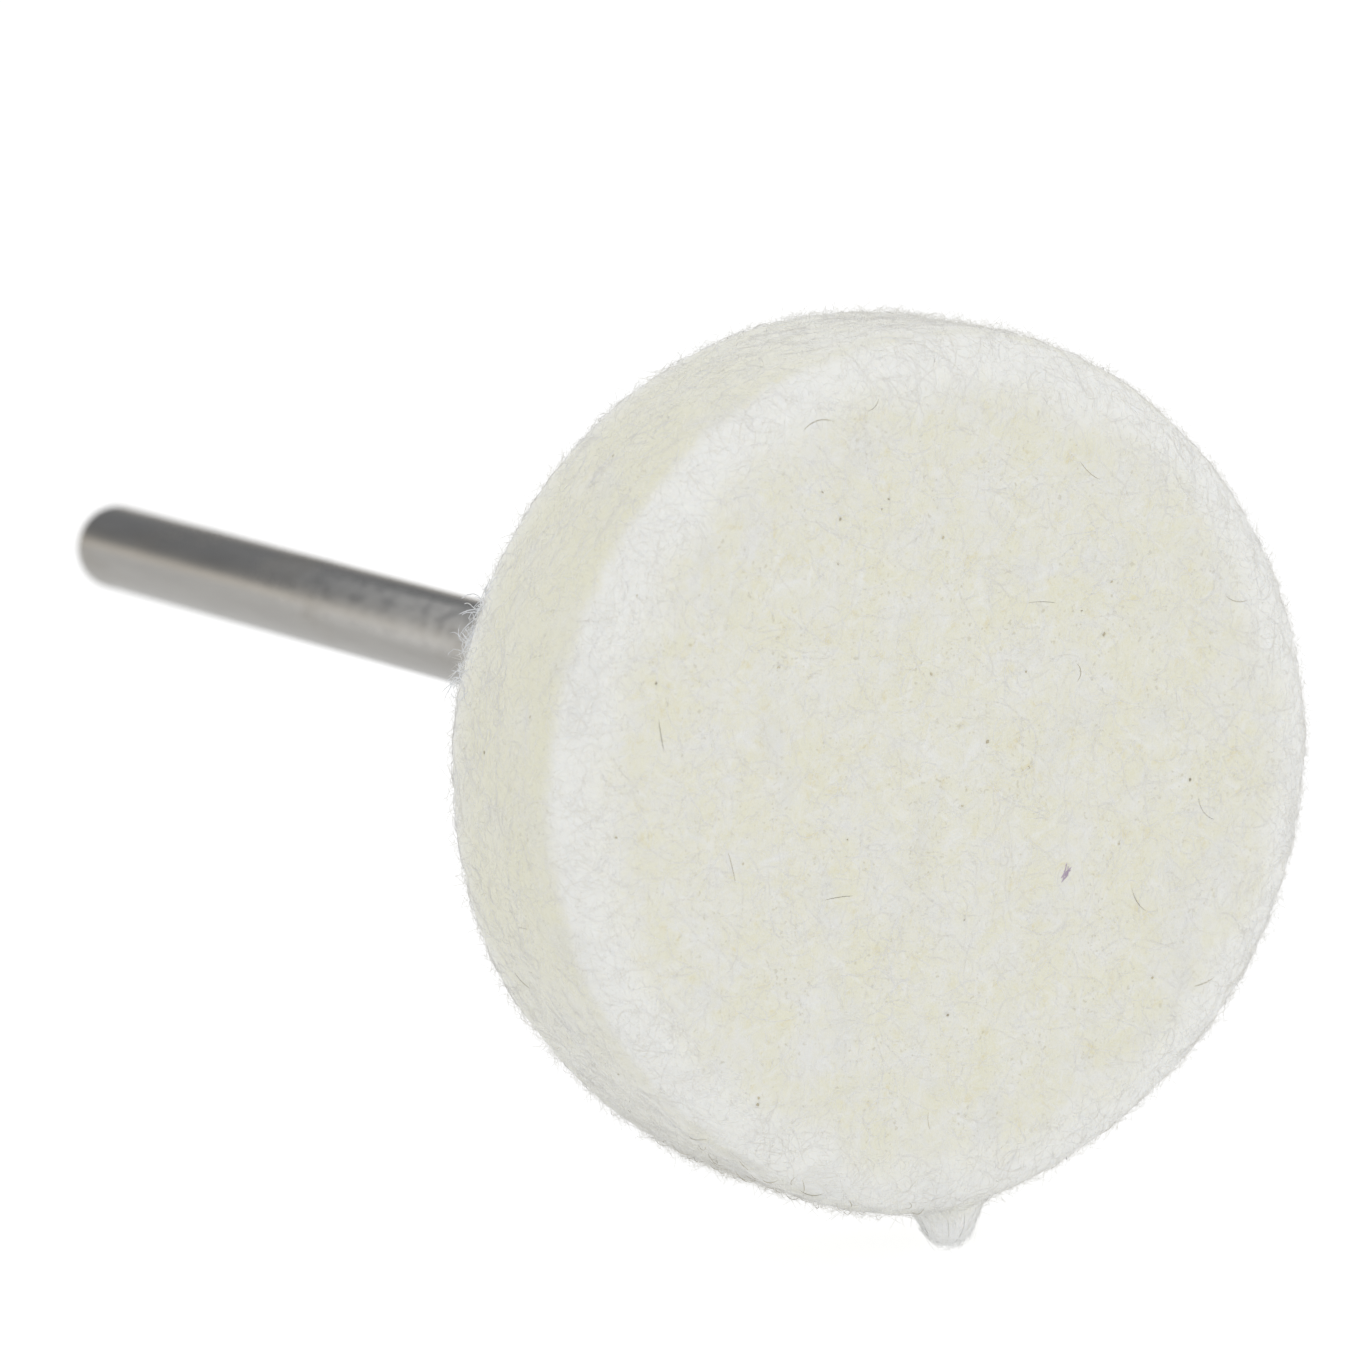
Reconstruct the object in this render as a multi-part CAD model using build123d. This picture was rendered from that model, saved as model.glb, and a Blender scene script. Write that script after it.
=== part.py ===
from build123d import *

import os

# Mounted felt polishing wheel: a disc of hard pressed wool felt, glued onto the grip head of a
# plain steel handpiece shank. It has three separate pieces: the felt, the shank and the cured glue.
#
# Millimetres, +Z up. The origin is the centre of the felt's flat working face, and the spin axis is
# the Y axis. The working face looks along -Y, and the shank runs out of the back along +Y.

# Felt disc
FELT_DIAMETER = 22.0
FELT_THICKNESS = 7.0
FRONT_EDGE_ROUND = 1.4
BACK_EDGE_ROUND = 1.0

# Steel shank
SHANK_DIAMETER = 2.35
SHANK_LENGTH = 46.0
SHANK_BURIED = 5.0
TAIL_ROUND = 0.75

# Grip head: the turned down end of the shank, with flutes and grooves that the glue locks onto.
# It ends in a shoulder that stands just clear of the felt.
HEAD_DIAMETER = 1.9
HEAD_CHAMFER = 0.2
SHOULDER_CLEAR_OF_FELT = 0.5
PLAIN_INSIDE_FELT = 0.4
FLUTE_COUNT = 16
FLUTE_DEPTH = 0.14
FLUTE_WIDTH = 0.26
GROOVE_COUNT = 2
GROOVE_DEPTH = 0.2
GROOVE_WIDTH = 0.5

# Glue that fills the drilled hole round the grip head, and the corner under the shoulder
GLUE_GAP = 0.2
GLUE_UNDER_HEAD = 0.3
GLUE_FOOT_DIAMETER = 3.3

# Places along the spin axis
FRONT_FACE = 0.0
BACK_FACE = FRONT_FACE + FELT_THICKNESS
HEAD_END = BACK_FACE - SHANK_BURIED
TAIL_END = HEAD_END + SHANK_LENGTH
SHOULDER = BACK_FACE + SHOULDER_CLEAR_OF_FELT
HOLE_END = HEAD_END - GLUE_UNDER_HEAD
FLUTES_END = BACK_FACE - PLAIN_INSIDE_FELT

FELT_RADIUS = FELT_DIAMETER / 2
SHANK_RADIUS = SHANK_DIAMETER / 2
HEAD_RADIUS = HEAD_DIAMETER / 2
HOLE_RADIUS = HEAD_RADIUS + GLUE_GAP
GLUE_FOOT_RADIUS = GLUE_FOOT_DIAMETER / 2


def turned(*profile):
    """A solid of revolution about the spin axis, from (radius, place along the axis) points."""
    return revolve(make_face(Polyline(*profile, close=True)), Axis.Y)


def rim_edge(solid, place):
    """The widest round edge of the solid in the plane at that place along the spin axis."""
    circles = solid.edges().filter_by(GeomType.CIRCLE)
    in_plane = circles.filter_by_position(Axis.Y, place, place)
    return in_plane.sort_by(SortBy.RADIUS)[-1]


def felt_wheel():
    """The felt disc, with soft rounded edges and a blind hole drilled from the back."""
    disc = turned(
        (0, FRONT_FACE),
        (FELT_RADIUS, FRONT_FACE),
        (FELT_RADIUS, BACK_FACE),
        (HOLE_RADIUS, BACK_FACE),
        (HOLE_RADIUS, HOLE_END),
        (0, HOLE_END),
    )
    disc = fillet(rim_edge(disc, FRONT_FACE), FRONT_EDGE_ROUND)
    return fillet(rim_edge(disc, BACK_FACE), BACK_EDGE_ROUND)


def flutes():
    """V-shaped cutters along the grip head, spaced evenly round it."""
    outside = HEAD_RADIUS + FLUTE_DEPTH
    root = HEAD_RADIUS - FLUTE_DEPTH
    vee = make_face(
        Polyline((-FLUTE_WIDTH, outside), (FLUTE_WIDTH, outside), (0, root), close=True)
    )
    start = HEAD_END - HEAD_CHAMFER
    head_plane = Plane(origin=(0, start, 0), x_dir=(1, 0, 0), z_dir=(0, 1, 0))
    cutter = extrude(head_plane * vee, FLUTES_END - start, dir=(0, 1, 0))
    return [cutter.rotate(Axis.Y, turn * 360 / FLUTE_COUNT) for turn in range(FLUTE_COUNT)]


def ring_grooves():
    """V-shaped rings round the grip head, where the glue keys against pulling out."""
    outside = HEAD_RADIUS + GROOVE_DEPTH
    root = HEAD_RADIUS - GROOVE_DEPTH
    spacing = (FLUTES_END - HEAD_END) / (GROOVE_COUNT + 1)
    rings = []
    for number in range(1, GROOVE_COUNT + 1):
        middle = HEAD_END + number * spacing
        rings.append(
            turned(
                (outside, middle - GROOVE_WIDTH),
                (outside, middle + GROOVE_WIDTH),
                (root, middle),
            )
        )
    return rings


def shank():
    """The steel shank: a round tail for the collet, and a smaller grooved head inside the felt."""
    rod = turned(
        (0, HEAD_END),
        (HEAD_RADIUS, HEAD_END),
        (HEAD_RADIUS, SHOULDER),
        (SHANK_RADIUS, SHOULDER),
        (SHANK_RADIUS, TAIL_END),
        (0, TAIL_END),
    )
    rod = fillet(rim_edge(rod, TAIL_END), TAIL_ROUND)
    rod = chamfer(rim_edge(rod, HEAD_END), HEAD_CHAMFER)
    return rod - (flutes() + ring_grooves())


def glue_bond(steel):
    """The cured glue: it fills the hole round the grip head, and tapers up to the shoulder."""
    filled = turned(
        (0, HOLE_END),
        (HOLE_RADIUS, HOLE_END),
        (HOLE_RADIUS, BACK_FACE),
        (GLUE_FOOT_RADIUS, BACK_FACE),
        (SHANK_RADIUS, SHOULDER),
        (0, SHOULDER),
    )
    return filled - steel


def write_parts():
    """Writes each piece to its own STEP file, named after the piece."""
    os.makedirs("parts", exist_ok=True)
    steel = shank()
    pieces = {
        "felt_wheel": felt_wheel(),
        "shank": steel,
        "glue_bond": glue_bond(steel),
    }
    for name, piece in pieces.items():
        piece.label = name
        export_step(piece, f"parts/{name}.step")


write_parts()
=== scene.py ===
import math

import bmesh
import bpy
import numpy as np
from mathutils import Matrix, Vector, noise


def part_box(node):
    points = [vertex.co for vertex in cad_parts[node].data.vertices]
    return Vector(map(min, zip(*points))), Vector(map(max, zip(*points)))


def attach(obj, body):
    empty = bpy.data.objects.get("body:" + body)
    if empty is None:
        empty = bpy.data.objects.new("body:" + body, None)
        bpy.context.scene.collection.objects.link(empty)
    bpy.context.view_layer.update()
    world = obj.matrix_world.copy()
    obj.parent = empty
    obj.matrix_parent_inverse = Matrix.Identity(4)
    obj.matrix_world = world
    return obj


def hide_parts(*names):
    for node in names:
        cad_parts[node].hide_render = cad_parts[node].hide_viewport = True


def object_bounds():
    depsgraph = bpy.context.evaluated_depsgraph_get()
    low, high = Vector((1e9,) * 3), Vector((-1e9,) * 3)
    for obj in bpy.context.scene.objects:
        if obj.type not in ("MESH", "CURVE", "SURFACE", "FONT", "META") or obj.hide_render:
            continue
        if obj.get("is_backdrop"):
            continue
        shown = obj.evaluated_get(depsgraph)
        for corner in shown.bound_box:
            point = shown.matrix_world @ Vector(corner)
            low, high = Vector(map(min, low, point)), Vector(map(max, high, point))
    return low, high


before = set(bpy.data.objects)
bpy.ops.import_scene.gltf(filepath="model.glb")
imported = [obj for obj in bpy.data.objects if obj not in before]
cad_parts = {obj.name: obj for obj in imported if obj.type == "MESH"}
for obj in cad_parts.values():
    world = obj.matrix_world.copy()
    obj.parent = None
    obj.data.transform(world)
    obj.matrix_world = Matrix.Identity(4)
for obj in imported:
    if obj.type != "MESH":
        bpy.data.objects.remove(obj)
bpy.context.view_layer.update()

# Looks of the mounted felt polishing wheel. The steel shank and the glue keep their CAD meshes and
# get better materials. The felt is replaced by a soft displaced body with real fibres on it.
# Shapes are worked out in millimetres, in the CAD frame: +Y is the spin axis, the face is at Y = 0.

MM = 0.001
FELT_LOW, FELT_HIGH = [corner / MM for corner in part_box("felt_wheel")]
RADIUS = FELT_HIGH.x
THICKNESS = FELT_HIGH.y - FELT_LOW.y
HOLE_RADIUS = 1.15
HOLE_MARGIN = 0.12  # how near the hole's wall the mesh is left alone
HOLE_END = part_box("glue_bond")[0].y / MM
FRONT_ROUND = 1.4
BACK_ROUND = 1.0
VOXEL = 0.122  # fine enough for the lumps, and coarse enough for the export's triangle limit
SEED = 20


def smooth_step(low, high, value):
    """0 below low, 1 above high, and an S-shaped rise between them."""
    t = np.clip((value - low) / (high - low), 0.0, 1.0)
    return t * t * (3.0 - 2.0 * t)


def unit(vectors):
    return vectors / np.maximum(np.linalg.norm(vectors, axis=1, keepdims=True), 1e-9)


def lumps(points, size, seed):
    """Smooth random heights from -1 to 1 at the points, for lumps about that size across."""
    shift = Vector((seed, 2.3 * seed, 3.7 * seed))
    return np.array([noise.noise(Vector(point) / size + shift) for point in points])


def bell(distance, width):
    return np.exp(-0.5 * (distance / width) ** 2)


# ---------------------------------------------------------------- the felt's surface

def nearest(points):
    """The nearest points of the ideal felt surface, and the outward normals there."""
    across = np.hypot(points[:, 0], points[:, 2])
    spoke = np.zeros_like(points)
    spoke[:, 0] = points[:, 0] / np.maximum(across, 1e-6)
    spoke[:, 2] = points[:, 2] / np.maximum(across, 1e-6)
    along = points[:, 1] - THICKNESS / 2
    corner = np.where(along < 0, FRONT_ROUND, BACK_ROUND)
    out = across - (RADIUS - corner)
    deep = np.abs(along) - (THICKNESS / 2 - corner)
    both = (out > 0) & (deep > 0)
    side = ~both & (out > deep)
    length = np.maximum(np.hypot(out, deep), 1e-9)
    normal_out = np.where(both, out / length, np.where(side, 1.0, 0.0))
    normal_along = np.where(both, deep / length, np.where(side, 0.0, 1.0)) * np.sign(along)
    distance = np.where(both, length, np.maximum(out, deep)) - corner
    normals = spoke * normal_out[:, None]
    normals[:, 1] = normal_along
    return points - normals * distance[:, None], normals


# What is uneven round the rim. Each _AT is in degrees from +X towards +Z, the rest in millimetres
SAG_AT = -92.0
SAG_HEIGHT = 0.38
SAG_WIDTH = 2.9
TAPER_AT = 160.0
TAPER_DEPTH = 0.36
SHAVED_AT = 40.0
SHAVED_DEPTH = 0.14
SHAVED_WIDTH = 3.5
TUFT_AT = -83.8
TUFT_Y = 2.2
TUFT_HEIGHT = 1.12
TUFT_WIDTH = 0.74
# Round the bottom rim here the felt gets painted shade, a soft darker grey band, and dark hairs
# gather
SHADE_AND_HAIRS_AT = -109.0
PAINTED_SHADE_WIDTH = 2.9
SHANK_SEEN_AT = 162.0  # where the camera sees the shank come out from behind the rim

# Shallow dents in both flat faces: X, Z, depth and width
DENTS = ((0.4, 0.0, 0.12, 0.9), (1.1, 4.2, 0.07, 0.8))
# Lumps all over: size, height and seed
LUMPS = ((3.2, 0.05, 1.0), (1.1, 0.022, 2.0), (0.38, 0.013, 3.0))

SHANK_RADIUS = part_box("shank")[1].x / MM
STREAK_RISE = 31.0  # how far above -X the painted reflection streak is, in degrees round the shank


def angle_from(points, degrees):
    """How far round the rim the points are from an angle, in millimetres of arc."""
    turn = np.arctan2(points[:, 2], points[:, 0]) - math.radians(degrees)
    return ((turn + math.pi) % (2 * math.pi) - math.pi) * RADIUS


def tuft_mask(points):
    distance = np.hypot(angle_from(points, TUFT_AT), 0.8 * (points[:, 1] - TUFT_Y))
    return np.exp(-((distance / TUFT_WIDTH) ** 4))


def shaped(points, normals):
    """The real felt's surface: its uneven outline, its dents and its lumps, on the ideal one."""
    across = np.hypot(points[:, 0], points[:, 2])
    spoke = unit(points * np.array([1.0, 0.0, 1.0]))
    turn = np.arctan2(points[:, 2], points[:, 0])
    taper = np.maximum(np.cos(turn - math.radians(TAPER_AT)), 0.0)
    outline = (
        SAG_HEIGHT * bell(angle_from(points, SAG_AT), SAG_WIDTH)
        - TAPER_DEPTH * taper * smooth_step(2.5, 6.0, points[:, 1])
        - SHAVED_DEPTH * bell(angle_from(points, SHAVED_AT), SHAVED_WIDTH)
    )
    moved = points + spoke * (outline * smooth_step(6.0, RADIUS, across))[:, None]
    on_rim = smooth_step(0.1, 0.9, np.hypot(normals[:, 0], normals[:, 2]))
    height = TUFT_HEIGHT * tuft_mask(points) * on_rim
    for x, z, depth, width in DENTS:
        height -= depth * bell(np.hypot(points[:, 0] - x, points[:, 2] - z), width)
    for size, rise, seed in LUMPS:
        height += rise * lumps(points, size, seed)
    near_glue = smooth_step(1.6, 3.2, across)
    calm = np.where(points[:, 1] > THICKNESS / 2, near_glue, 1.0)
    return moved + normals * (height * calm)[:, None]


def new_object(name, mesh, material):
    piece = bpy.data.objects.new(name, mesh)
    bpy.context.scene.collection.objects.link(piece)
    mesh.materials.clear()
    mesh.materials.append(material)
    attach(piece, "root")
    return piece


def store(mesh, name, values):
    """Keeps one number per point on the mesh, for the material's nodes to read."""
    mesh.attributes.new(name, "FLOAT", "POINT").data.foreach_set("value", values.astype(np.float32))


def even_disc(turns=160):
    """A fine even mesh of the plain disc with its glue hole, from a turned profile."""
    profile = [
        (0.0, 0.0),
        (RADIUS, 0.0),
        (RADIUS, THICKNESS),
        (HOLE_RADIUS, THICKNESS),
        (HOLE_RADIUS, HOLE_END),
        (0.0, HOLE_END),
    ]
    verts = []
    for step in range(turns):
        turn = 2 * math.pi * step / turns
        verts += [(r * math.cos(turn), y, r * math.sin(turn)) for r, y in profile]
    count = len(profile)
    faces = []
    for step in range(turns):
        here, after = step * count, (step + 1) % turns * count
        faces += [(here + k, after + k, after + k + 1, here + k + 1) for k in range(count - 1)]
    rough = bpy.data.meshes.new("felt_rough")
    rough.from_pydata(verts, [], faces)
    maker = bpy.data.objects.new("felt_rough", rough)
    bpy.context.scene.collection.objects.link(maker)
    weld = maker.modifiers.new("weld", "WELD")
    weld.merge_threshold = 1e-4
    remesh = maker.modifiers.new("even", "REMESH")
    remesh.mode = "VOXEL"
    remesh.voxel_size = VOXEL
    made = maker.evaluated_get(bpy.context.evaluated_depsgraph_get())
    mesh = bpy.data.meshes.new_from_object(made)
    bpy.data.objects.remove(maker)
    mesh.name = "felt_body"
    return mesh


def felt_body(material):
    """The felt disc: each point of the even mesh goes to the rounded disc, and is then shaped."""
    mesh = even_disc()
    points = np.empty(len(mesh.vertices) * 3)
    mesh.vertices.foreach_get("co", points)
    points = points.reshape(-1, 3)
    across = np.hypot(points[:, 0], points[:, 2])
    outer = (across > HOLE_RADIUS + HOLE_MARGIN) | (points[:, 1] < HOLE_END / 2)
    on_ideal, normals = nearest(points)
    points[outer] = shaped(on_ideal[outer], normals[outer])
    mesh.vertices.foreach_set("co", (points * MM).ravel())
    mesh.update()
    mesh.shade_smooth()
    store_felt_masks(mesh, on_ideal, normals, across)
    return new_object("felt_body", mesh, material)


def store_felt_masks(mesh, on_ideal, normals, across):
    """Where the felt is white, creamy or stained by glue, where its rims get a painted highlight,
    where the bottom rim gets painted shade, and where the tuft is painted lighter.
    """
    sideways = np.hypot(normals[:, 0], normals[:, 2])
    patchy = lumps(on_ideal, 1.6, 7.0)
    front_edge = smooth_step(8.9, 10.3, across + 0.5 * patchy) * smooth_step(0.98, 0.80, sideways)
    front_edge *= on_ideal[:, 1] < THICKNESS / 2
    back_edge = smooth_step(5.0, 6.6, on_ideal[:, 1]) * smooth_step(0.2, 0.7, sideways)
    tuft = np.clip(2.0 * tuft_mask(on_ideal), 0, 1) * smooth_step(0.2, 0.8, sideways)
    # the wall is creamiest on its two sides, and whiter at the top and the bottom
    turn = np.arctan2(on_ideal[:, 2], on_ideal[:, 0])
    beside = 0.1 + 0.9 * smooth_step(0.35, 0.85, np.abs(np.cos(turn - math.radians(TAPER_AT))))
    on_wall = smooth_step(0.85, 1.0, sideways)
    cream = on_wall * beside * (0.85 + 0.6 * patchy) * (1 - tuft)
    # partly real, partly painted: the rounded rims are whiter, less yellow wool, and are brightened
    # further as a painted highlight where they face the light
    white_and_highlight = np.maximum(np.maximum(front_edge, 0.75 * back_edge), 0.5 * on_wall * (1 - beside))
    # painted shade: a soft darker band round the bottom rim
    painted_shade = bell(angle_from(on_ideal, SHADE_AND_HAIRS_AT), PAINTED_SHADE_WIDTH) * smooth_step(0.75, 0.95, sideways)
    glue = bell(np.maximum(across - 1.5, 0), 0.5) * (on_ideal[:, 1] > THICKNESS / 2)
    store(mesh, "white", np.clip(white_and_highlight, 0, 1))
    store(mesh, "tuft", tuft)
    store(mesh, "cream", np.clip(cream, 0, 1))
    store(mesh, "painted_shade", np.clip(painted_shade * (0.7 + patchy), 0, 1))
    store(mesh, "glue", np.clip(glue * (1.0 + 0.5 * patchy), 0, 1))


# ---------------------------------------------------------------- fibres

def walk(points, heading, turn, pace):
    """Walks curved lines over the ideal surface. turn is (steps, lines) in radians a step."""
    places, normals = nearest(points)
    heading = unit(heading - normals * np.sum(heading * normals, axis=1, keepdims=True))
    path = [(places, normals)]
    for bend in turn:
        sideways = np.cross(normals, heading)
        heading = heading * np.cos(bend)[:, None] + sideways * np.sin(bend)[:, None]
        places, normals = nearest(places + heading * pace[:, None])
        heading = unit(heading - normals * np.sum(heading * normals, axis=1, keepdims=True))
        path.append((places, normals))
    return path


def tube_faces(ring_count, count):
    """Quads between the rings of each tube, and three triangles at each of its two tips."""
    numbers = np.arange(ring_count * count * 3).reshape(ring_count, count, 3)
    first_tip = ring_count * count * 3 + np.arange(count)
    last_tip = first_tip + count
    quads, tips = [], []
    for corner in range(3):
        here, after = numbers[:, :, corner], numbers[:, :, (corner + 1) % 3]
        quad = np.stack([here[:-1], here[1:], after[1:], after[:-1]], axis=-1)
        quads.append(quad.reshape(-1, 4))
        tips.append(np.stack([first_tip, here[0], after[0]], axis=-1))
        tips.append(np.stack([last_tip, after[-1], here[-1]], axis=-1))
    return np.concatenate(quads).tolist() + np.concatenate(tips).tolist()


def tubes(name, path, heights, thickness, tints, material, flat_lit=True):
    """A mesh of thin closed three-sided tubes along walked lines, raised off the felt."""
    steps, count = len(path), len(tints)
    flat = np.concatenate([places for places, _ in path])
    normals = np.concatenate([normals for _, normals in path])
    line = shaped(flat, normals) + normals * heights.reshape(-1)[:, None]
    line = line.reshape(steps, count, 3)
    normals = normals.reshape(steps, count, 3)
    forward = np.gradient(line, axis=0)
    forward /= np.maximum(np.linalg.norm(forward, axis=2, keepdims=True), 1e-9)
    side = np.cross(forward, normals)
    side /= np.maximum(np.linalg.norm(side, axis=2, keepdims=True), 1e-9)
    up = np.cross(side, forward)
    middle = slice(1, steps - 1)
    swell = np.sin(np.linspace(0, math.pi, steps))[middle] ** 0.4
    radius = (swell[:, None] * thickness[None, :])[:, :, None]
    corners = []
    for corner in range(3):
        turn = math.pi / 2 + corner * 2 * math.pi / 3
        outward = math.cos(turn) * side[middle] + math.sin(turn) * up[middle]
        corners.append(line[middle] + radius * outward)
    rings = np.stack(corners, axis=2)  # (ring, fibre, corner, xyz)
    ring_count = steps - 2
    verts = np.concatenate([rings.reshape(-1, 3), line[0], line[-1]])
    mesh = bpy.data.meshes.new(name)
    mesh.from_pydata((verts * MM).tolist(), [], tube_faces(ring_count, count))
    mesh.shade_smooth()
    if flat_lit:  # a fibre this thin is lit like the felt that it lies on
        on_rings = np.repeat(normals[middle].reshape(-1, 3), 3, axis=0)
        leaning = np.concatenate([on_rings, normals[0], normals[-1]])
        mesh.normals_split_custom_set_from_vertices(leaning.tolist())
    per_ring = np.repeat(np.tile(tints, ring_count), 3)
    store(mesh, "tint", np.concatenate([per_ring, tints, tints]))
    piece = new_object(name, mesh, material)
    # wool this thin lets light through, so it casts no shade on the felt or the floor
    piece.visible_shadow = False
    piece.visible_diffuse = False
    return piece


def any_heading(rng, count):
    """Random directions, which walk() then turns into the surface."""
    return rng.normal(size=(count, 3))


def on_face(rng, count, y, inside=0.0, outside=None):
    """Random points on a flat face, evenly spread."""
    outside = RADIUS if outside is None else outside
    across = np.sqrt(rng.uniform(inside**2, outside**2, count))
    turn = rng.uniform(0, 2 * math.pi, count)
    return np.stack([across * np.cos(turn), np.full(count, y), across * np.sin(turn)], axis=1)


def on_side(rng, count, overlap=1.6):
    """Random points on the side wall and both rounded edges, evenly spread."""
    place = rng.uniform(-overlap, THICKNESS + overlap, count)
    turn = rng.uniform(0, 2 * math.pi, count)
    across = RADIUS - np.maximum(np.maximum(-place, place - THICKNESS), 0)
    y = np.clip(place, 0, THICKNESS)
    return np.stack([across * np.cos(turn), y, across * np.sin(turn)], axis=1)


def lying_fibres(name, rng, starts, lift, material, steps=9):
    """Fibres that lie along the felt: both ends are in it, and the middle stands clear."""
    count = len(starts)
    is_short = rng.uniform(size=count) < 0.55
    short = rng.uniform(0.35, 0.9, count)
    length = np.where(is_short, short, rng.uniform(0.9, 2.1, count))
    bend = rng.normal(0, 0.26, count) + rng.normal(0, 0.24, (steps - 1, count))
    path = walk(starts, any_heading(rng, count), bend, length / (steps - 1))
    along = np.linspace(0, math.pi, steps)[:, None]
    rise = lift * rng.gamma(2.0, 0.5, count)[None, :]
    heights = rise * np.sin(along) ** 0.8 - 0.015 + 0.2 * rise * np.sin(3 * along)
    thickness = rng.uniform(0.006, 0.013, count)
    return tubes(name, path, heights, thickness, rng.uniform(0, 1, count), material)


def standing_fibres(
    name, rng, starts, reach, material, thin, span=(0.25, 1.1), curl=0.3, steps=7, flat_lit=True
):
    """Fuzz: one end is in the felt, and the other stands out of it."""
    count = len(starts)
    length = rng.uniform(*span, count)
    bend = rng.normal(0, curl, count) + rng.normal(0, 0.25, (steps - 1, count))
    path = walk(starts, any_heading(rng, count), bend, length / (steps - 1))
    along = np.linspace(0, 1, steps)[:, None]
    rise = reach * np.minimum(rng.gamma(2.2, 0.45, count), 2.6)[None, :]
    droop = rng.uniform(0.0, 0.7, count)[None, :]
    heights = rise * (along - droop * along**2.5) - 0.02
    thickness = rng.uniform(*thin, count)
    tints = rng.uniform(0, 1, count)
    return tubes(name, path, heights, thickness, tints, material, flat_lit)


def tuft_fluff(rng, material, count=1100):
    """Loose wool on the tuft, which blurs its outline."""
    turn = math.radians(TUFT_AT) + rng.normal(0, 0.45, count) / RADIUS
    y = TUFT_Y + rng.normal(0, 0.55, count)
    starts = np.stack([RADIUS * np.cos(turn), y, RADIUS * np.sin(turn)], axis=1)
    thin, span = (0.004, 0.008), (0.15, 0.6)
    standing_fibres(
        "tuft_fluff", rng, starts, 0.14, material, thin, span, curl=0.5, steps=5, flat_lit=False
    )


def rim_fuzz(rng, material, count=16400):
    """The finest fuzz, over the side wall and both rims, which blurs the outline."""
    for name, low, high in (("front_rim_fuzz", -1, 3.5), ("back_rim_fuzz", 3.5, THICKNESS + 1)):
        starts = on_side(rng, 36000)
        starts = starts[(starts[:, 1] >= low) & (starts[:, 1] < high)][:count]
        thin, span = (0.003, 0.0055), (0.2, 0.7)
        standing_fibres(name, rng, starts, 0.22, material, thin, span, steps=4, flat_lit=False)


def face_fuzz(rng, material, count=3200):
    """Short fuzz on both flat faces."""
    starts = np.concatenate([on_face(rng, count, 0.0), on_face(rng, count, THICKNESS, 2.2)])
    standing_fibres("face_fuzz", rng, starts, 0.10, material, thin=(0.003, 0.007))


def root_fluff(rng, material, count=300):
    """Loose curls on the back rim, just where the camera sees the shank pass behind it."""
    starts = on_side(rng, 16000)
    by_shank = np.abs(angle_from(starts, SHANK_SEEN_AT)) < 1.5
    starts = starts[by_shank & (starts[:, 1] > 5.9)][:count]
    standing_fibres(
        "root_fluff", rng, starts, 0.36, material, thin=(0.008, 0.015), curl=0.6, flat_lit=False
    )


def stray_hairs(rng, material):
    """Coarse dark hairs in the wool: a few on every side, and many on the bottom rim, where its shade
    is painted.
    """
    steps = 9
    shaded_rim = on_side(rng, 9000)
    low = np.abs(angle_from(shaded_rim, SHADE_AND_HAIRS_AT)) < rng.uniform(0.3, 3.6, len(shaded_rim))
    shaded_rim = shaded_rim[low & (shaded_rim[:, 1] > 0.3) & (shaded_rim[:, 1] < THICKNESS - 0.4)][:50]
    apart = np.concatenate(
        [
            on_face(rng, 11, 0.0, outside=0.9 * RADIUS),
            on_side(rng, 18),
            on_face(rng, 10, THICKNESS, inside=3.0),
        ]
    )
    starts = np.concatenate([apart, shaded_rim])
    count = len(starts)
    lone = np.arange(count) < len(apart)
    length = np.where(lone, rng.uniform(0.3, 1.0, count), rng.uniform(0.25, 0.7, count))
    dark = np.where(lone, rng.uniform(0.1, 0.8, count), rng.uniform(-0.2, 0.5, count))
    bend = rng.normal(0, 1.1, count) / (steps - 1)
    bends = np.tile(bend, (steps - 1, 1))
    path = walk(starts, any_heading(rng, count), bends, length / (steps - 1))
    thickness = np.where(lone, rng.uniform(0.008, 0.014, count), rng.uniform(0.006, 0.011, count))
    rise = np.where(lone, 0.035, rng.uniform(0.03, 0.16, count))
    heights = rise[None, :] * np.sin(np.linspace(0.25, math.pi - 0.25, steps))[:, None]
    tubes("stray_hairs", path, heights, thickness, dark, material)


def grains(name, rng, starts, length, material):
    """Small uneven grains at those points, more than half sunk into the felt."""
    ball = bmesh.new()
    bmesh.ops.create_icosphere(ball, subdivisions=2, radius=1.0)
    shape = np.array([v.co for v in ball.verts])
    faces = np.array([[v.index for v in face.verts] for face in ball.faces])
    ball.free()
    seats, normals = nearest(starts)
    seats = shaped(seats, normals)
    verts, all_faces = [], []
    for number, (seat, normal) in enumerate(zip(seats, normals)):
        rough = shape * (1.0 + 0.22 * lumps(shape, 0.9, 11.0 + number))[:, None]
        long_way = unit(np.cross(normal, rng.normal(size=3))[None, :])[0]
        cross_way = np.cross(normal, long_way)
        half = rng.uniform(*length) / 2
        slim = half * rng.uniform(0.5, 0.9)
        grain = seat + np.outer(rough[:, 0], long_way) * half
        grain = grain + np.outer(rough[:, 2], cross_way) * slim
        verts.append(grain + np.outer(0.03 * rough[:, 1] - 0.008, normal))
        all_faces.append(faces + number * len(shape))
    mesh = bpy.data.meshes.new(name)
    verts = np.concatenate(verts) * MM
    mesh.from_pydata(verts.tolist(), [], np.concatenate(all_faces).tolist())
    mesh.shade_smooth()
    store(mesh, "tint", np.repeat(rng.uniform(-0.4, 0.6, len(seats)), len(shape)))
    return new_object(name, mesh, material)


def specks(rng, material):
    """Grains of seed husk, scattered over the whole felt."""
    on_front = on_face(rng, 26, 0.0, outside=0.9 * RADIUS)
    on_back = on_face(rng, 16, THICKNESS, inside=2.5)
    starts = np.concatenate([on_front, on_side(rng, 14), on_back])
    grains("seed_specks", rng, starts, (0.05, 0.12), material)


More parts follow.
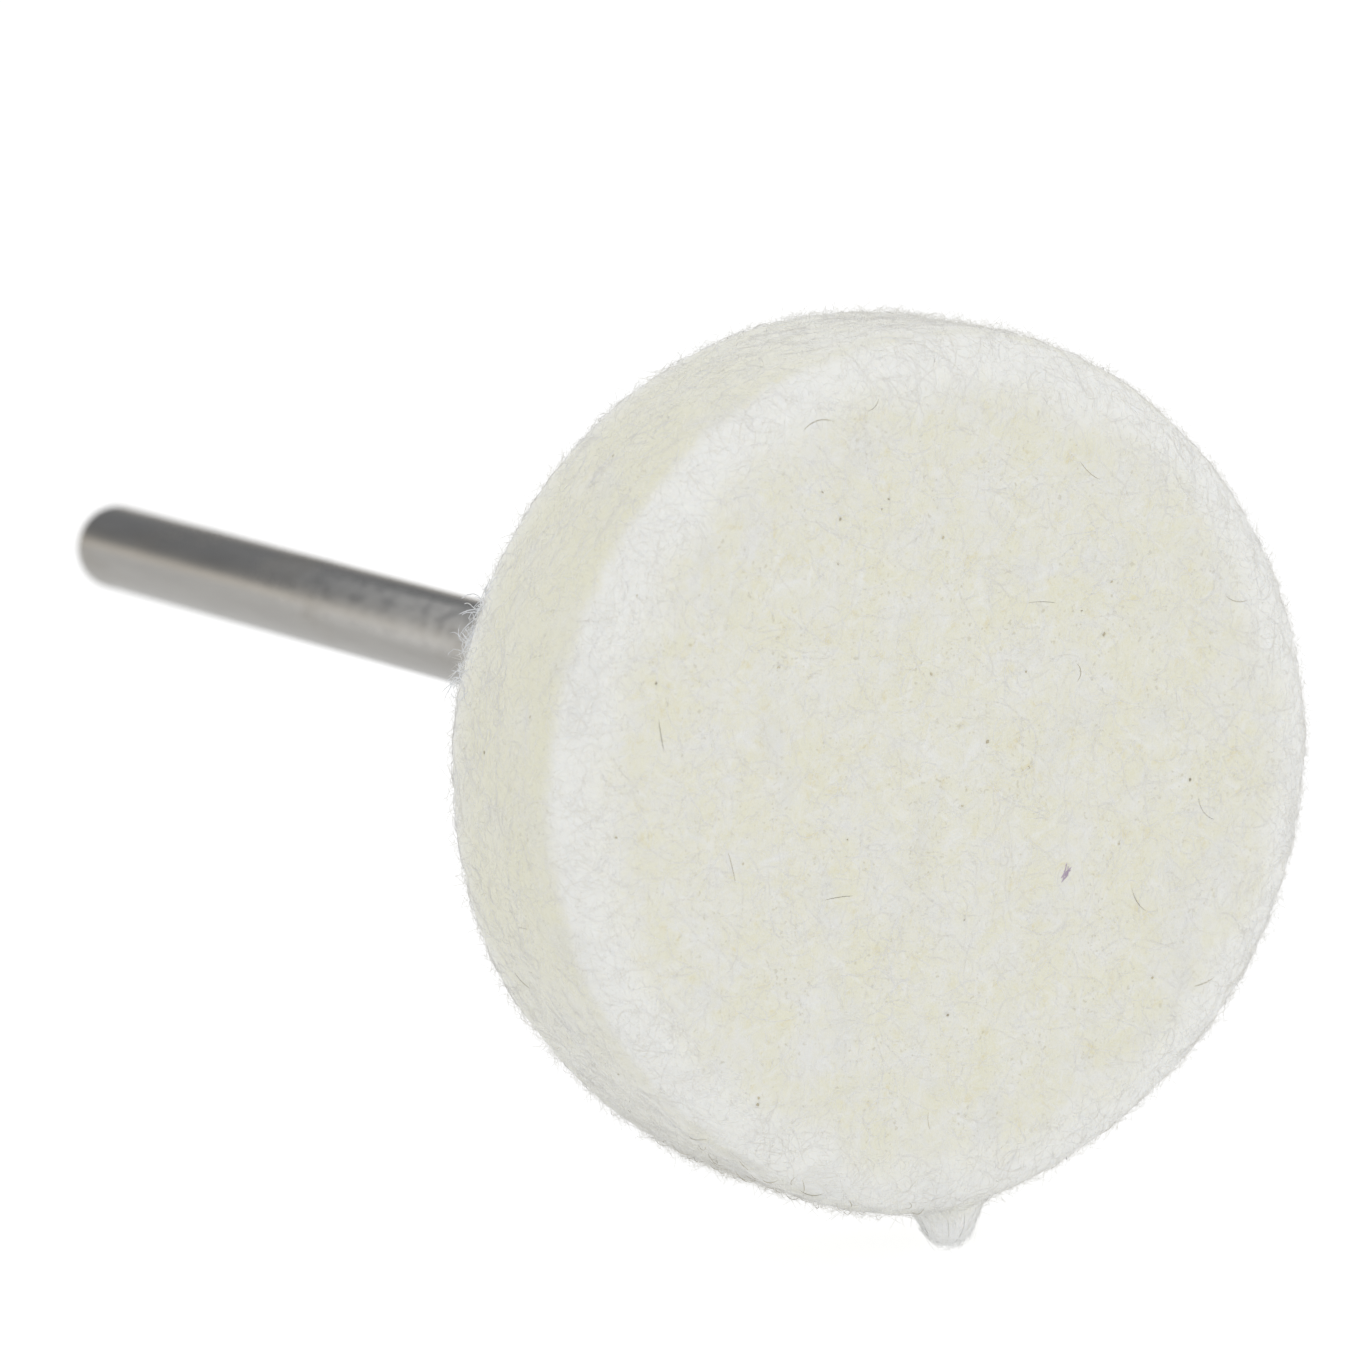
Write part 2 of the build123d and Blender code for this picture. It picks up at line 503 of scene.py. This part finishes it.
def dyed_wisp(rng, material, steps=7, count=16):
    """A small wisp of lilac wool, caught in the face."""
    centre = on_face(rng, 1, 0.0, outside=0.45 * RADIUS)
    ahead = unit(rng.normal(size=(1, 3)) * np.array([1.0, 0.0, 1.0]))
    behind = ahead * rng.uniform(-0.32, -0.12, (count, 1))
    starts = centre + behind + rng.normal(0, 0.035, (count, 3))
    length = rng.uniform(0.22, 0.42, count)
    bend = rng.normal(0, 0.10, (steps - 1, count))
    path = walk(starts, ahead + rng.normal(0, 0.10, (count, 3)), bend, length / (steps - 1))
    along = np.sin(np.linspace(0, math.pi, steps))[:, None]
    heights = along * rng.uniform(0.015, 0.045, count)[None, :] - 0.004
    thickness = rng.uniform(0.012, 0.022, count)
    tubes("dyed_wisp", path, heights, thickness, rng.uniform(0, 1, count), material)


# ---------------------------------------------------------------- materials

class Material:
    """A node material, built by adding nodes and joining them."""

    def __init__(self, name):
        self.material = bpy.data.materials.new(name)
        self.material.use_nodes = True
        self.tree = self.material.node_tree
        self.tree.nodes.clear()
        self.output = self.tree.nodes.new("ShaderNodeOutputMaterial")
        self.shader = self.tree.nodes.new("ShaderNodeBsdfPrincipled")
        self.join(self.shader.outputs[0], self.output.inputs["Surface"])
        self.place = self.tree.nodes.new("ShaderNodeTexCoord").outputs["Object"]

    def join(self, source, target):
        self.tree.links.new(source, target)

    def give(self, target, value):
        """Feeds a socket from another socket, or sets it to a plain value."""
        if isinstance(value, bpy.types.NodeSocket):
            self.join(value, target)
        else:
            target.default_value = value

    def set(self, **values):
        """Feeds the shader's sockets, with _ for each space in their names."""
        for name, value in values.items():
            self.give(self.shader.inputs[name.replace("_", " ")], value)

    def stretched(self, x, y, z, turn=0.0):
        """Makes features that many times as long along X, Y and Z, then turned in degrees about Y."""
        node = self.tree.nodes.new("ShaderNodeMapping")
        node.vector_type = "TEXTURE"
        self.join(self.place, node.inputs["Vector"])
        node.inputs["Rotation"].default_value = (0.0, math.radians(turn), 0.0)
        node.inputs["Scale"].default_value = (x, y, z)
        return node.outputs[0]

    def noise(self, size, detail=4.0, roughness=0.55, distortion=0.0, where=None):
        """Noise with features about that many millimetres across."""
        node = self.tree.nodes.new("ShaderNodeTexNoise")
        self.join(where or self.place, node.inputs["Vector"])
        node.inputs["Scale"].default_value = 1 / (size * MM)
        node.inputs["Detail"].default_value = detail
        node.inputs["Roughness"].default_value = roughness
        node.inputs["Distortion"].default_value = distortion
        return node.outputs[0]

    def cells(self, size):
        """How far the nearest of many scattered points is, with cells about that wide."""
        node = self.tree.nodes.new("ShaderNodeTexVoronoi")
        self.join(self.place, node.inputs["Vector"])
        node.inputs["Scale"].default_value = 1 / (size * MM)
        return node.outputs["Distance"]

    def attribute(self, name):
        node = self.tree.nodes.new("ShaderNodeAttribute")
        node.attribute_name = name
        return node.outputs["Fac"]

    def remap(self, value, low, high, to_low=0.0, to_high=1.0):
        """to_low below low, to_high above high, and an S-shaped rise between them."""
        node = self.tree.nodes.new("ShaderNodeMapRange")
        node.interpolation_type = "SMOOTHSTEP"
        self.join(value, node.inputs["Value"])
        node.inputs["From Min"].default_value = low
        node.inputs["From Max"].default_value = high
        node.inputs["To Min"].default_value = to_low
        node.inputs["To Max"].default_value = to_high
        return node.outputs[0]

    def times(self, a, b):
        return self.math("MULTIPLY", a, b)

    def plus(self, a, b):
        return self.math("ADD", a, b)

    def math(self, operation, a, b):
        node = self.tree.nodes.new("ShaderNodeMath")
        node.operation = operation
        self.give(node.inputs[0], a)
        self.give(node.inputs[1], b)
        return node.outputs[0]

    def mix(self, amount, a, b):
        """From colour a to colour b."""
        node = self.tree.nodes.new("ShaderNodeMix")
        node.data_type = "RGBA"
        self.give(node.inputs["Factor"], amount)
        sockets = [s for s in node.inputs if s.type == "RGBA"]
        self.give(sockets[0], a if isinstance(a, bpy.types.NodeSocket) else (*a, 1.0))
        self.give(sockets[1], b if isinstance(b, bpy.types.NodeSocket) else (*b, 1.0))
        return next(s for s in node.outputs if s.type == "RGBA")

    def bump(self, height, distance, strength=1.0, below=None):
        """distance is how tall the bumps are, in millimetres."""
        node = self.tree.nodes.new("ShaderNodeBump")
        self.join(height, node.inputs["Height"])
        node.inputs["Distance"].default_value = distance * MM
        node.inputs["Strength"].default_value = strength
        if below is not None:
            self.join(below, node.inputs["Normal"])
        return node.outputs[0]


def felt_material():
    """Pressed wool: creamy and white clouds, straw-coloured blotches, white wisps and dots."""
    m = Material("pressed_wool_felt")
    white = (0.80, 0.80, 0.770)
    cream = (0.79, 0.78, 0.645)
    straw = (0.74, 0.69, 0.485)
    grey = (0.73, 0.735, 0.72)
    wisp_white = (0.84, 0.845, 0.82)
    wall_cream = (0.785, 0.775, 0.62)
    rim_white_and_highlight = (0.865, 0.87, 0.845)
    tuft_white_and_lit = (0.94, 0.945, 0.935)
    husk = (0.54, 0.51, 0.40)
    shade_grey = (0.46, 0.46, 0.43)
    glue_stain = (0.50, 0.43, 0.26)
    clouds = m.noise(1.5, detail=7.0, roughness=0.72, distortion=0.4)
    blotches = m.noise(0.42, detail=5.0, roughness=0.65, distortion=0.6)
    strands = m.noise(0.16, detail=5.0, roughness=0.6, distortion=2.2)
    colour = m.mix(m.remap(clouds, 0.30, 0.64), white, cream)
    colour = m.mix(m.times(m.remap(blotches, 0.46, 0.70), 0.55), colour, cream)
    straws = m.times(m.remap(blotches, 0.54, 0.72), m.remap(clouds, 0.42, 0.56))
    colour = m.mix(m.times(straws, 0.85), colour, straw)
    for turn in (15.0, 72.0, 128.0):
        wisp = m.noise(0.30, detail=5.0, roughness=0.6, where=m.stretched(1.0, 1.4, 3.8, turn))
        colour = m.mix(m.times(m.remap(wisp, 0.54, 0.70), 0.55), colour, wisp_white)
    colour = m.mix(m.times(m.remap(strands, 0.50, 0.70), 0.50), colour, white)
    colour = m.mix(m.times(m.attribute("cream"), 0.9), colour, wall_cream)
    # whiter wool on the rims, with a painted highlight: this colour is brighter than the face's white
    colour = m.mix(m.times(m.attribute("white"), 0.9), colour, rim_white_and_highlight)
    # whiter wool on the tuft, with painted light that lifts the shade on its downward face
    colour = m.mix(m.attribute("tuft"), colour, tuft_white_and_lit)
    greyer = m.times(m.remap(m.noise(1.9, detail=3.0), 0.54, 0.72), 0.40)
    colour = m.mix(greyer, colour, grey)
    scattered = m.remap(m.noise(1.3), 0.42, 0.58)
    dots = m.times(m.remap(m.noise(0.13, detail=1.5), 0.60, 0.71), scattered)
    fewer_on_white = m.math("SUBTRACT", 0.50, m.times(m.attribute("white"), 0.42))
    colour = m.mix(m.times(dots, fewer_on_white), colour, husk)
    # painted shade: the bottom rim is mottled towards grey
    shade_mottles = m.times(m.attribute("painted_shade"), m.remap(m.noise(0.45, detail=4.0), 0.36, 0.62))
    colour = m.mix(m.times(shade_mottles, 0.50), colour, shade_grey)
    colour = m.mix(m.times(m.attribute("glue"), 0.55), colour, glue_stain)
    fine = m.bump(strands, 0.02, 0.6)
    coarse = m.bump(blotches, 0.04, 0.5, below=fine)
    m.set(Base_Color=colour, Normal=coarse, Roughness=0.95)
    m.set(Sheen_Weight=0.25, Sheen_Roughness=0.6)
    m.set(Subsurface_Weight=0.6, Subsurface_Scale=0.25 * MM, Subsurface_Radius=(1.0, 0.95, 0.85))
    m.shader.inputs["Specular IOR Level"].default_value = 0.1
    return m.material


def fibre_material(name, pale, dark):
    """Wool fibres: each has its own shade, and the shade drifts along it."""
    m = Material(name)
    drift = m.noise(0.5, detail=2.0)
    shade = m.plus(m.times(m.attribute("tint"), 0.8), m.remap(drift, 0.3, 0.7, -0.2, 0.3))
    colour = m.mix(shade, pale, dark)
    m.set(Base_Color=colour, Roughness=m.remap(drift, 0.2, 0.8, 0.6, 0.85))
    m.set(Sheen_Weight=0.3)
    m.set(Normal=m.bump(m.noise(0.03, detail=2.0), 0.004, 0.5))
    m.shader.inputs["Specular IOR Level"].default_value = 0.25
    return m.material


def reflection_streak(m):
    """A painted reflection: a softly mottled light streak along one flank, strongest near the felt.
    """
    tail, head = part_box("shank")[1].y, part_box("felt_wheel")[1].y
    split = m.tree.nodes.new("ShaderNodeSeparateXYZ")
    m.join(m.place, split.inputs[0])
    across, along, up = split.outputs
    slope = math.radians(STREAK_RISE)
    flank = m.plus(m.times(across, -math.cos(slope)), m.times(up, math.sin(slope)))
    streak = m.remap(flank, 0.72 * SHANK_RADIUS * MM, 0.95 * SHANK_RADIUS * MM)
    streak = m.times(streak, m.remap(along, tail - 6 * MM, head + 14 * MM))
    mottles = m.noise(0.35, detail=5.0, roughness=0.6, where=m.stretched(1.0, 1.8, 1.0))
    return m.times(streak, m.remap(mottles, 0.34, 0.62, 0.55, 1.0))


def steel_material():
    """Drawn steel, with faint stains and pits, and a painted reflection in a light streak along one
    flank.
    """
    m = Material("drawn_steel")
    dark_steel = (0.475, 0.46, 0.435)
    light_steel = (0.565, 0.55, 0.52)
    stain = (0.44, 0.41, 0.36)
    pit = (0.30, 0.28, 0.25)
    reflected_light = (0.92, 0.905, 0.87)
    drawn = m.noise(0.05, detail=6.0, roughness=0.7, where=m.stretched(1.0, 50.0, 1.0))
    handled = m.noise(1.6, detail=6.0, roughness=0.65, where=m.stretched(1.0, 2.2, 1.0))
    painted_reflection = reflection_streak(m)
    stains = m.remap(handled, 0.50, 0.68)
    pits = m.remap(m.noise(0.22, detail=4.0), 0.60, 0.72)
    colour = m.mix(m.remap(drawn, 0.35, 0.65), dark_steel, light_steel)
    colour = m.mix(m.times(stains, 0.45), colour, stain)
    colour = m.mix(m.times(m.times(stains, pits), 0.6), colour, pit)
    # painted reflection: the streak is mixed towards a near-white colour, and the steel is rougher
    # there
    colour = m.mix(m.times(painted_reflection, 0.9), colour, reflected_light)
    rough = m.plus(m.remap(drawn, 0.3, 0.7, 0.12, 0.20), m.times(stains, 0.12))
    rough = m.plus(rough, m.times(painted_reflection, 0.45))
    lines = m.bump(drawn, 0.004, 0.4)
    m.set(Base_Color=colour, Metallic=1.0, Roughness=rough)
    m.set(Normal=m.bump(pits, 0.006, 0.3, below=lines))
    return m.material


def glue_material():
    """Cured adhesive: milky amber, with small bubbles."""
    m = Material("cured_amber_glue")
    milky = m.noise(0.5, detail=4.0)
    bubbles = m.remap(m.cells(0.16), 0.12, 0.35)
    colour = m.mix(m.remap(milky, 0.35, 0.65), (0.66, 0.60, 0.42), (0.50, 0.41, 0.22))
    m.set(Base_Color=colour, Roughness=m.remap(milky, 0.3, 0.7, 0.25, 0.5))
    m.set(Normal=m.bump(bubbles, 0.02, 0.5), Subsurface_Weight=0.2, Subsurface_Scale=0.4 * MM)
    m.set(Coat_Weight=0.3)
    return m.material


# ---------------------------------------------------------------- the object

def build():
    """Every piece, always in this order, because they share one random generator."""
    rng = np.random.default_rng(SEED)
    felt = felt_body(felt_material())
    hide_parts("felt_wheel")
    wool = fibre_material("wool_fibre", (0.885, 0.885, 0.87), (0.82, 0.80, 0.73))
    lying_fibres("face_fibres", rng, on_face(rng, 4600, 0.0, outside=10.6), 0.03, wool)
    lying_fibres("side_fibres", rng, on_side(rng, 4600), 0.03, wool)
    lying_fibres("back_fibres", rng, on_face(rng, 3000, THICKNESS, inside=1.9), 0.03, wool)
    rim_fuzz(rng, wool)
    face_fuzz(rng, wool)
    root_fluff(rng, fibre_material("root_fluff", (0.84, 0.86, 0.89), (0.74, 0.76, 0.80)))
    kemp = fibre_material("kemp_hair", (0.55, 0.50, 0.36), (0.15, 0.14, 0.12))
    stray_hairs(rng, kemp)
    specks(rng, kemp)
    dyed_wisp(rng, fibre_material("lilac_wool", (0.58, 0.49, 0.59), (0.44, 0.35, 0.46)))
    tuft_fluff(rng, fibre_material("tuft_wool", (0.93, 0.935, 0.93), (0.88, 0.885, 0.87)))
    for node, material in (("shank", steel_material()), ("glue_bond", glue_material())):
        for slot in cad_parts[node].material_slots:
            slot.material = material


# ---------------------------------------------------------------- stage, light and camera

# The camera: degrees for its direction, millimetres for its lens, distance and aim
CAMERA_AZIMUTH = -28.65
CAMERA_ELEVATION = 8.4
CAMERA_DISTANCE = 297.0
LENS = 314.9
F_STOP = 130.0
AIM_RIGHT = -6.67
AIM_UP = 2.26


def towards(azimuth, elevation):
    """The direction from the object, in degrees. At 0, 0 it looks straight at the felt's face."""
    a, e = math.radians(azimuth), math.radians(elevation)
    return Vector((math.sin(a) * math.cos(e), -math.cos(a) * math.cos(e), math.sin(e)))


def floor(size=6.0):
    """A pale floor that glows, more for the camera than for the felt, and less in the steel."""
    low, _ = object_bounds()
    mesh = bpy.data.meshes.new("floor")
    corners = [(-size, -size, 0), (size, -size, 0), (size, size, 0), (-size, size, 0)]
    mesh.from_pydata(corners, [], [(0, 1, 2, 3)])
    ground = bpy.data.objects.new("floor", mesh)
    ground.location.z = low.z
    bpy.context.scene.collection.objects.link(ground)
    ground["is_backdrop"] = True
    m = Material("pale_floor")
    rays = m.tree.nodes.new("ShaderNodeLightPath")
    glow = m.plus(m.times(rays.outputs["Is Camera Ray"], 0.21), 0.55)
    glow = m.math("SUBTRACT", glow, m.times(rays.outputs["Is Glossy Ray"], 0.185))
    m.set(Base_Color=(0.35, 0.35, 0.35, 1.0), Roughness=1.0)
    m.set(Emission_Color=(1.0, 1.0, 1.0, 1.0), Emission_Strength=glow)
    m.shader.inputs["Specular IOR Level"].default_value = 0.0
    mesh.materials.append(m.material)


def sky():
    """White all round for the camera and the felt, darker above the horizon in the steel."""
    world = bpy.data.worlds.new("studio")
    bpy.context.scene.world = world
    world.use_nodes = True
    tree = world.node_tree
    tree.nodes.clear()
    out = tree.nodes.new("ShaderNodeOutputWorld")
    rays = tree.nodes.new("ShaderNodeLightPath")
    where = tree.nodes.new("ShaderNodeTexCoord")
    split = tree.nodes.new("ShaderNodeSeparateXYZ")
    tree.links.new(where.outputs["Generated"], split.inputs[0])
    ramp = tree.nodes.new("ShaderNodeValToRGB")
    tree.links.new(split.outputs["Z"], ramp.inputs[0])
    stops = ramp.color_ramp.elements
    stops[0].position, stops[0].color = 0.0, (0.80, 0.77, 0.725, 1)
    stops[1].position, stops[1].color = 1.0, (0.8, 0.8, 0.8, 1)
    skyline = (
        (0.10, (0.78, 0.74, 0.68, 1)),
        (0.16, (0.45, 0.44, 0.42, 1)),
        (0.24, (0.27, 0.27, 0.27, 1)),
        (0.36, (0.23, 0.235, 0.245, 1)),
        (0.56, (0.23, 0.24, 0.26, 1)),
    )
    for height, colour in skyline:
        stops.new(height).color = colour
    mirrored = tree.nodes.new("ShaderNodeBackground")
    tree.links.new(ramp.outputs[0], mirrored.inputs["Color"])
    unseen = whiteness(tree, 0.88)
    seen = whiteness(tree, 1.05)
    not_camera = choose(tree, rays.outputs["Is Glossy Ray"], unseen, mirrored)
    all_rays = choose(tree, rays.outputs["Is Camera Ray"], not_camera, seen)
    tree.links.new(all_rays.outputs[0], out.inputs[0])


def whiteness(tree, strength):
    """A plain white background of that strength."""
    node = tree.nodes.new("ShaderNodeBackground")
    node.inputs["Color"].default_value = (1, 1, 1, 1)
    node.inputs["Strength"].default_value = strength
    return node


def choose(tree, chooser, otherwise, chosen):
    """One background where the light-path value is 1, and the other where it is 0."""
    node = tree.nodes.new("ShaderNodeMixShader")
    tree.links.new(chooser, node.inputs[0])
    tree.links.new(otherwise.outputs[0], node.inputs[1])
    tree.links.new(chosen.outputs[0], node.inputs[2])
    return node


def softbox(name, azimuth, elevation, size, power, distance=0.6):
    """A square soft light that looks at the object, and that the steel doesn't mirror."""
    lamp = bpy.data.lights.new(name, "AREA")
    lamp.size = size
    lamp.energy = power
    light = bpy.data.objects.new(name, lamp)
    back = towards(azimuth, elevation)
    light.location = back * distance
    light.rotation_mode = "QUATERNION"
    light.rotation_quaternion = (-back).to_track_quat("-Z", "Y")
    light.visible_glossy = False
    bpy.context.scene.collection.objects.link(light)


def camera():
    """A long lens at the photo's angle, focused near the face so the shank's tail is soft."""
    back = towards(CAMERA_AZIMUTH, CAMERA_ELEVATION)
    turn = math.radians(CAMERA_AZIMUTH)
    right = Vector((math.cos(turn), math.sin(turn), 0.0))
    up = back.cross(right)
    focus = bpy.data.objects.new("focus", None)
    focus.location = (0.0, 1.0 * MM, 0.0)
    bpy.context.scene.collection.objects.link(focus)
    data = bpy.data.cameras.new("camera")
    data.sensor_width = 36.0
    data.lens = LENS
    data.dof.use_dof = True
    data.dof.focus_object = focus
    data.dof.aperture_fstop = F_STOP
    data.clip_start = 0.01
    data.clip_end = 30.0
    eye = bpy.data.objects.new("camera", data)
    bpy.context.scene.collection.objects.link(eye)
    eye.location = (AIM_RIGHT * right + AIM_UP * up + CAMERA_DISTANCE * back) * MM
    eye.rotation_mode = "QUATERNION"
    eye.rotation_quaternion = Matrix((right, up, back)).transposed().to_quaternion()
    bpy.context.scene.camera = eye


build()
floor()
sky()
softbox("front_softbox", azimuth=-5.0, elevation=12.0, size=0.5, power=0.49)
softbox("top_softbox", azimuth=-70.0, elevation=70.0, size=0.6, power=0.05)
camera()
bpy.context.scene.view_settings.view_transform = "Standard"
